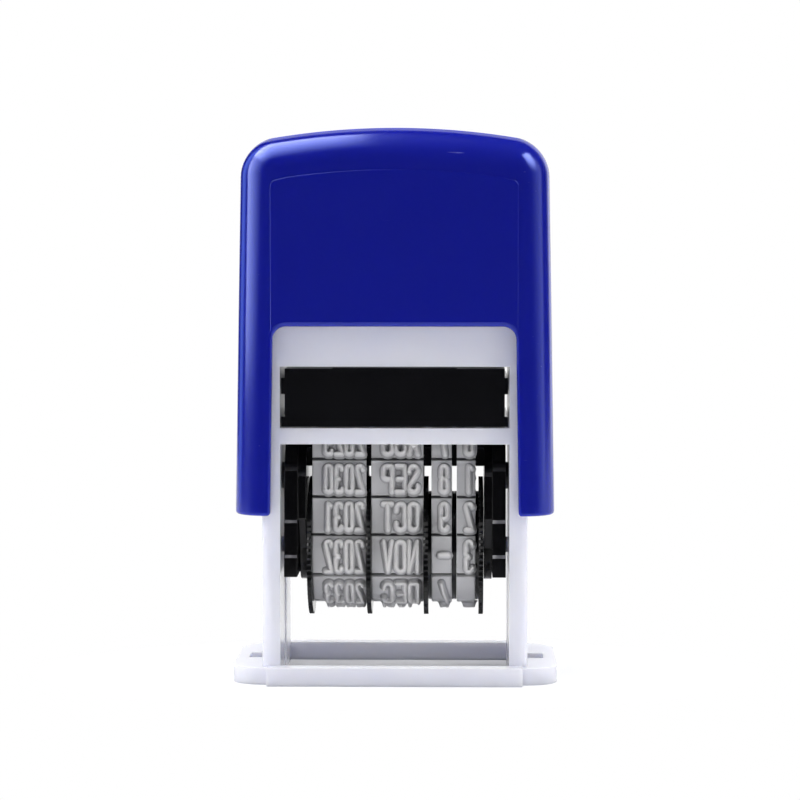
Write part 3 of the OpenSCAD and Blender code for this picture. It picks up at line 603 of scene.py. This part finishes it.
def date_band(node, words, sign_w, sign_h, sign_step, shift):
    """A band with a word on each pad. shift moves the words to the right of the band's middle."""
    low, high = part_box(node)
    low.x -= band_swell
    high.x += band_swell
    bm = bmesh.new()
    relief = bm.verts.layers.float.new("relief")
    stations = []
    for pad_no in range(pads):
        start = (pad_no - 0.5) * pitch
        flat = pitch - 2 * groove_form[-1][0]
        stations += [(start + d, h) for d, h in groove_form]
        stations += [(start + groove_form[-1][0] + flat * k / pad_steps, band_t) for k in range(1, pad_steps)]
        stations += [(start + pitch - d, h) for d, h in groove_form[:0:-1]]
    rings = []
    for s, h in stations:
        across = [(low.x, 0), (high.x, 0), (high.x, h - side_r), (high.x - side_r, h), (low.x + side_r, h),
                  (low.x, h - side_r)]
        ring = []
        for x, rise in across:
            corner = bm.verts.new((x, *on_loop(s, rise)))
            corner[relief] = 0.35 if h > web_t else 0
            ring.append(corner)
        rings.append(ring)
    for i in range(len(rings)):
        for k in range(len(rings[i])):
            bm.faces.new((rings[i - 1][k - 1], rings[i - 1][k], rings[i][k], rings[i][k - 1]))
    centre = (low.x + high.x) / 2 + shift
    for row, word in enumerate(words):
        for place_no, sign in enumerate(word):
            u0 = (place_no - (len(word) - 1) / 2) * sign_step - sign_w / 2

            def put_at(u, v, rise):
                return (centre - u0 - u, *on_loop(row * pitch + sign_h / 2 - v, band_t + rise))

            for line in strokes(sign, sign_w, sign_h):
                for run in smooth_runs(line):
                    raise_type(bm, relief, run, put_at)
    bmesh.ops.recalc_face_normals(bm, faces=bm.faces)
    band = put(node.replace("band", "rubber_band"), bm, band_rubber)
    band.data.set_sharp_from_angle(angle=math.radians(38))
    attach(band, "date_unit")
    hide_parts(node)


month_names = ("JUL", "AUG", "SEP", "OCT", "NOV", "DEC", "JAN", "FEB", "MAR", "APR", "MAY", "JUN")
years = [str(2028 + row if row < 7 else 2016 + row) for row in range(pads)]
sign_h = 3.36 * mm
digit_w = 0.78 * mm
letter_w = 1.12 * mm
date_band("year_band", years, digit_w, sign_h, 1.35 * mm, 0.65 * mm)
date_band("month_band", month_names, letter_w, sign_h, 1.68 * mm, 0.45 * mm)
date_band("day_unit_band", "6789-/012345", digit_w, sign_h, 0, 0.35 * mm)
date_band("day_ten_band", "/0123 -0123 ", digit_w, sign_h, 0, 0.42 * mm)


# Cover. The part that the hand pushes: a crowned shell with two legs and a window front and rear, and
# a slightly raised panel for a label. Royal blue ABS from a polished mould, 1.6 mm thick: a deep colour
# under a bluish gloss, which is slightly hazed and marked by handling.
glossy_blue, tree = new_finish("blue_abs_polished")
around = add(tree, "ShaderNodeTexCoord").outputs
place = around["Object"]
cloud = add(tree, "ShaderNodeTexNoise", {"Vector": place, "Scale": 1 / (14 * mm), "Detail": 3})
tone = add(tree, "ShaderNodeMix", {0: cloud.outputs["Fac"], 6: linear("#151c92"), 7: linear("#181f9a")},
           data_type="RGBA")
# Dust: one speck of about 0.1 mm in a few of the cells that are 3.5 mm wide.
cells = add(tree, "ShaderNodeTexVoronoi", {"Vector": place, "Scale": 1 / (3.5 * mm)})
near = add(tree, "ShaderNodeMapRange", {"Value": cells.outputs["Distance"], "From Min": 0.018,
           "From Max": 0.034, "To Min": 1, "To Max": 0})
chosen = add(tree, "ShaderNodeMath", {0: cells.outputs["Color"], 1: 0.5}, operation="GREATER_THAN")
speck = add(tree, "ShaderNodeMath", {0: near.outputs[0], 1: chosen.outputs[0]}, operation="MULTIPLY")
# Hairline scratches from handling. They are drawn coarser than real ones, so that the render shows them.
hair = add(tree, "ShaderNodeMapping", {"Vector": place, "Rotation": (0.3, 0.5, 0.4),
           "Scale": (1 / (9 * mm), 1 / (0.35 * mm), 1 / (0.35 * mm))})
streak = add(tree, "ShaderNodeTexNoise", {"Vector": hair.outputs[0], "Scale": 1, "Detail": 1})
scratch = add(tree, "ShaderNodeMapRange", {"Value": streak.outputs["Fac"], "From Min": 0.79,
              "From Max": 0.82, "To Max": 0.12})
mark = add(tree, "ShaderNodeMath", {0: speck.outputs[0], 1: scratch.outputs[0]}, operation="MAXIMUM")
marked = add(tree, "ShaderNodeMix", {0: mark.outputs[0], 6: tone.outputs[2], 7: linear("#c8ccf0")},
             data_type="RGBA")
haze = add(tree, "ShaderNodeTexNoise", {"Vector": place, "Scale": 1 / (2.5 * mm), "Detail": 5})
polish = add(tree, "ShaderNodeMapRange", {"Value": haze.outputs["Fac"], "To Min": 0.1, "To Max": 0.2})
gloss = add(tree, "ShaderNodeMath", {0: polish.outputs[0], 1: mark.outputs[0]}, operation="ADD")
# The top, where the hand pushes, is rubbed to a satin. It is what looks straight up.
up = add(tree, "ShaderNodeSeparateXYZ", {0: around["Normal"]}).outputs["Z"]
rubbed = add(tree, "ShaderNodeMapRange", {"Value": up, "From Min": 0.9, "From Max": 0.985, "To Max": 0.45})
gloss = add(tree, "ShaderNodeMath", {0: gloss.outputs[0], 1: rubbed.outputs[0]}, operation="ADD")
body = add(tree, "ShaderNodeBsdfPrincipled", {"Base Color": marked.outputs[2], "IOR": 1.53,
           "Roughness": gloss.outputs[0], "Subsurface Weight": 0.6, "Subsurface Radius": (0.1, 0.2, 1),
           "Subsurface Scale": 2 * mm, "Specular IOR Level": 1, "Specular Tint": linear("#98acff")})
add(tree, "ShaderNodeOutputMaterial", {"Surface": body.outputs[0]})

cover_low, cover_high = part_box("cover")
cover_half = cover_high.x
cover_half_y = cover_high.y
leg_z = cover_low.z
cover_z = cover_high.z
cover_t = 1.6 * mm
cover_r = 4.2 * mm
side_draft = 0.72 * mm
front_draft = 0.35 * mm
crown_h = 1.3 * mm
foot_r = 0.45 * mm
crown_x = cover_half - side_draft - cover_r
crown_r = (crown_x ** 2 + crown_h ** 2) / (2 * crown_h)
shoulder_z = cover_z - cover_r
window_z = 46.3 * mm
window_half = 15.6 * mm
window_flare = 0.33 * mm
window_r = 1.7 * mm
lip_r = 0.5 * mm
label_half = 15.7 * mm
label_z = cover_z - 5.6 * mm
label_t = 0.1 * mm
label_r = 0.7 * mm
along_x, along_y, corner_steps, wall_steps, top_steps = 40, 24, 10, 20, 12


def crown_drop(x):
    """How far the crowned top lies below its middle."""
    return crown_r - math.sqrt(crown_r ** 2 - x ** 2)


def taper(z):
    """The share of the walls' draft that is reached at a height."""
    return min(1, max(0, (z - leg_z) / (shoulder_z - leg_z)))


def plan_ring(half_x, half_y, r):
    """A rectangle with round corners, the same number of points whatever its size."""
    points = []
    inner_x = half_x - r
    inner_y = half_y - r
    for corner, (sx, sy) in enumerate(((1, -1), (1, 1), (-1, 1), (-1, -1))):
        for k in range(corner_steps + 1):
            turn = math.radians(90 * (corner - 1 + k / corner_steps))
            points.append((sx * inner_x + r * math.cos(turn), sy * inner_y + r * math.sin(turn)))
        ahead_x = corner in (1, 3)
        count = along_x if ahead_x else along_y
        for k in range(1, count):
            slide = 1 - 2 * k / count
            if ahead_x:
                points.append((sx * inner_x * slide, sy * half_y))
            else:
                points.append((sx * half_x, sy * inner_y * slide))
    return points


def cover_form(inset, low, foot):
    """The cover's outer form, or the room inside it, as one closed solid."""
    r = cover_r - inset
    levels = []
    for k in range(5):
        turn = math.radians(90 * k / 4)
        levels.append((low + foot * (1 - math.cos(turn)), foot * (1 - math.sin(turn)), 1))
    for k in range(1, wall_steps):
        levels.append((low + foot + (shoulder_z - low - foot) * k / wall_steps, 0, 1))
    for k in range(top_steps + 1):
        turn = math.radians(90 * k / top_steps)
        levels.append((shoulder_z + r * math.sin(turn), r * (1 - math.cos(turn)), math.cos(turn)))
    bm = bmesh.new()
    rings = []
    for z, pull, share in levels:
        half_x = cover_half - inset - side_draft * taper(z) - pull
        half_y = cover_half_y - inset - front_draft * taper(z) - pull
        corner = r - pull if z < shoulder_z else r * share
        rings.append([bm.verts.new((x, y, z)) for x, y in plan_ring(half_x, half_y, corner)])
    for lower, upper in zip(rings, rings[1:]):
        for i in range(len(lower)):
            bm.faces.new((lower[i - 1], lower[i], upper[i], upper[i - 1]))
    bm.faces.new(rings[0][::-1])
    grid = [[bm.verts.new((half_x * (2 * i / along_x - 1), half_y * (2 * j / along_y - 1), z))
             for j in range(along_y + 1)] for i in range(along_x + 1)]
    for i in range(along_x):
        for j in range(along_y):
            bm.faces.new((grid[i][j], grid[i + 1][j], grid[i + 1][j + 1], grid[i][j + 1]))
    bmesh.ops.remove_doubles(bm, verts=bm.verts, dist=0.001 * mm)
    level_z = window_z + lip_r
    for v in bm.verts:
        share = min(1, max(0, (v.co.z - level_z) / (shoulder_z - level_z)))
        v.co.z -= crown_drop(min(abs(v.co.x), cover_half)) * share ** 2 * (3 - 2 * share)
    bmesh.ops.recalc_face_normals(bm, faces=bm.faces)
    return bm


def front_y(z):
    return -cover_half_y + front_draft * taper(z)


def window_outline(grow):
    """Left foot, up, round the two upper corners and down to the right foot."""
    low = leg_z - 2 * mm
    r = window_r + grow
    half = window_half + grow
    flare = window_flare
    foot = [(foot_r * (1 - math.cos(t)), leg_z + foot_r * (1 - math.sin(t)))
            for t in (math.radians(90 * k / 4) for k in range(5))]
    points = [(-half - flare - foot_r, low)] + [(-half - flare - d, z) for d, z in foot[::-1]]
    for centre_x, start in ((-half + r, 180), (half - r, 90)):
        for k in range(9):
            turn = math.radians(start - 90 * k / 8)
            points.append((centre_x + r * math.cos(turn), window_z + grow - r + r * math.sin(turn)))
    points += [(half + flare + d, z) for d, z in foot] + [(half + flare + foot_r, low)]
    return points


def label_outline(grow):
    """Left side, up, along the crowned upper edge and down the right side."""
    half = label_half + grow
    r = label_r + grow
    foot = window_z - 1 * mm
    points = [(-half, foot)]
    end_z = label_z - crown_drop(label_half) + grow - r
    points += [(-half + r + r * math.cos(t), end_z + r * math.sin(t))
               for t in (math.radians(180 - 90 * k / 6) for k in range(7))]
    count = 24
    for k in range(1, count):
        x = (half - r) * (2 * k / count - 1)
        points.append((x, label_z - crown_drop(x) + grow))
    points += [(half - r + r * math.cos(t), end_z + r * math.sin(t))
               for t in (math.radians(90 - 90 * k / 6) for k in range(7))]
    points.append((half, foot))
    return points


def face_form(outline_of, depths, rear):
    """A solid through the front wall, or the rear one: an outline that changes with depth."""
    bm = bmesh.new()
    sense = -1 if rear else 1
    loops = []
    for depth, grow in depths:
        loops.append([bm.verts.new((x, sense * (front_y(z) + depth), z)) for x, z in outline_of(grow)])
    for near, deep in zip(loops, loops[1:]):
        for i in range(len(near)):
            bm.faces.new((near[i - 1], near[i], deep[i], deep[i - 1]))
    bm.faces.new(loops[0])
    bm.faces.new(loops[-1])
    bmesh.ops.recalc_face_normals(bm, faces=bm.faces)
    return bm


# Depth behind the front face, and how far the outline grows there: the window's round lip, and the label
# panel with its sloping edge.
slope = 1.5
lip = [(-1 * mm, lip_r + slope * mm), (-label_t, lip_r + slope * label_t)]
for k in range(7):
    turn = math.radians(90 * k / 6)
    lip.append((lip_r * (1 - math.cos(turn)), lip_r * (1 - math.sin(turn))))
lip.append((cover_t + 2 * mm, 0))
panel = [(-label_t, 0), (0, slope * label_t), (cover_t / 2, slope * label_t)]
shell = put("cover_shell", cover_form(0, leg_z, foot_r), glossy_blue)
shapers = []
for rear in (False, True):
    shapers.append(("UNION", put("label_plate", face_form(label_outline, panel, rear), None)))
shapers.append(("DIFFERENCE", put("cover_room", cover_form(cover_t, leg_z - 1 * mm, 0), None)))
for rear in (False, True):
    shapers.append(("DIFFERENCE", put("window_cutter", face_form(window_outline, lip, rear), None)))
for operation, shaper in shapers:
    shape = shell.modifiers.new(shaper.name, "BOOLEAN")
    shape.operation = operation
    shape.solver = "EXACT"
    shape.object = shaper
cut_mesh = bpy.data.meshes.new_from_object(shell.evaluated_get(bpy.context.evaluated_depsgraph_get()))
shell.modifiers.clear()
shell.data = cut_mesh
for operation, shaper in shapers:
    bpy.data.objects.remove(shaper)

# Inside it has a boss round each trunnion, two guide ribs on each side and the spring's post.
wall_out = 17.2 * mm
boss_x = wall_out + 0.3 * mm
boss_end = cover_half - cover_t + 0.4 * mm
boss_r = 3.15 * mm
bore_r = 1.85 * mm
rib_x = wall_out + 0.25 * mm
rib_end = cover_half - cover_t + 0.2 * mm
rib_y = 7 * mm
rib_t = 1.2 * mm
rib_top = cover_z - cover_t - crown_h - cover_r
post_r = 3.7 * mm
post_low = cover_z - cover_t - 4 * mm
round_steps = 40


def turned(bm, axis_point, axis, ring_form):
    """A closed ring-shaped solid: a profile of (along, radius) points turned about an axis."""
    side = Vector((0, 1, 0))
    other = axis.cross(side)
    rings = []
    for k in range(round_steps):
        turn = 2 * math.pi * k / round_steps
        out = side * math.cos(turn) + other * math.sin(turn)
        rings.append([bm.verts.new(axis_point + axis * along + out * r) for along, r in ring_form])
    for k in range(round_steps):
        for i in range(len(ring_form)):
            bm.faces.new((rings[k - 1][i - 1], rings[k - 1][i], rings[k][i], rings[k][i - 1]))


bm = bmesh.new()
bm.from_mesh(shell.data)
soft = 0.15 * mm
for side in (-1, 1):
    turned(bm, Vector((0, 0, trunnion_z)), Vector((side, 0, 0)),
           [(boss_x, bore_r + soft), (boss_x, boss_r - soft), (boss_x + soft, boss_r), (boss_end, boss_r),
            (boss_end, bore_r), (boss_x + soft, bore_r)])
    for y in (-rib_y, rib_y):
        rib = bmesh.ops.create_cube(bm, size=1)["verts"]
        for v in rib:
            out = rib_x if v.co.x * side < 0 else rib_end
            v.co = (side * out, y + rib_t * v.co.y, leg_z + foot_r if v.co.z < 0 else rib_top)
turned(bm, Vector((0, 0, 0)), Vector((0, 0, 1)),
       [(post_low, 0.3 * mm), (post_low, post_r - 3 * soft), (post_low + 3 * soft, post_r),
        (cover_z - cover_t / 2, post_r), (cover_z - cover_t / 2, 0.3 * mm)])
bmesh.ops.remove_doubles(bm, verts=bm.verts, dist=0.0005 * mm)
bmesh.ops.recalc_face_normals(bm, faces=bm.faces)
bm.to_mesh(shell.data)
bm.free()
shell.data.shade_smooth()
shell.data.set_sharp_from_angle(angle=math.radians(40))
normals = shell.modifiers.new("normals", "WEIGHTED_NORMAL")
normals.keep_sharp = True
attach(shell, "cover")
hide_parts("cover")


# Return spring. An open helix of spring wire between the frame's deck and the cover's ceiling, with its
# ends laid flat. Drawn steel: a grey metal gloss, a little uneven.
spring_wire, tree = new_finish("drawn_spring_wire")
place = add(tree, "ShaderNodeTexCoord").outputs["Object"]
drawn = add(tree, "ShaderNodeTexNoise", {"Vector": place, "Scale": 1 / (0.3 * mm), "Detail": 4})
tone = add(tree, "ShaderNodeMix", {0: drawn.outputs["Fac"], 6: linear("#9a9a9c"), 7: linear("#c2c2c4")},
           data_type="RGBA")
gloss = add(tree, "ShaderNodeMapRange", {"Value": drawn.outputs["Fac"], "To Min": 0.2, "To Max": 0.42})
body = add(tree, "ShaderNodeBsdfPrincipled", {"Base Color": tone.outputs[2], "Metallic": 1,
           "Roughness": gloss.outputs[0]})
add(tree, "ShaderNodeOutputMaterial", {"Surface": body.outputs[0]})
spring_low, spring_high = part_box("return_spring")
wire_r = 0.4 * mm
coil_r = 4.5 * mm
turns = 7
turn_steps = 40
wire_sides = 14
flat_turns = 0.5
bm = bmesh.new()
rings = []
count = turns * turn_steps
for i in range(count + 1):
    angle = 2 * math.pi * i / turn_steps
    climb = min(1, max(0, (i / turn_steps - flat_turns / 2) / (turns - flat_turns)))
    z = spring_low.z + wire_r + (spring_high.z - spring_low.z - 2 * wire_r) * climb
    out = Vector((math.cos(angle), math.sin(angle), 0))
    ring = []
    for k in range(wire_sides):
        turn = 2 * math.pi * k / wire_sides
        ring.append(bm.verts.new(out * (coil_r + wire_r * math.cos(turn))
                                 + Vector((0, 0, z + wire_r * math.sin(turn)))))
    rings.append(ring)
for lower, upper in zip(rings, rings[1:]):
    for k in range(wire_sides):
        bm.faces.new((lower[k - 1], lower[k], upper[k], upper[k - 1]))
bm.faces.new(rings[0])
bm.faces.new(rings[-1])
bmesh.ops.recalc_face_normals(bm, faces=bm.faces)
spring = put("coil_spring", bm, spring_wire)
spring.data.set_sharp_from_angle(angle=math.radians(50))
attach(spring, "frame")
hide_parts("return_spring")
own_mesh(spring)
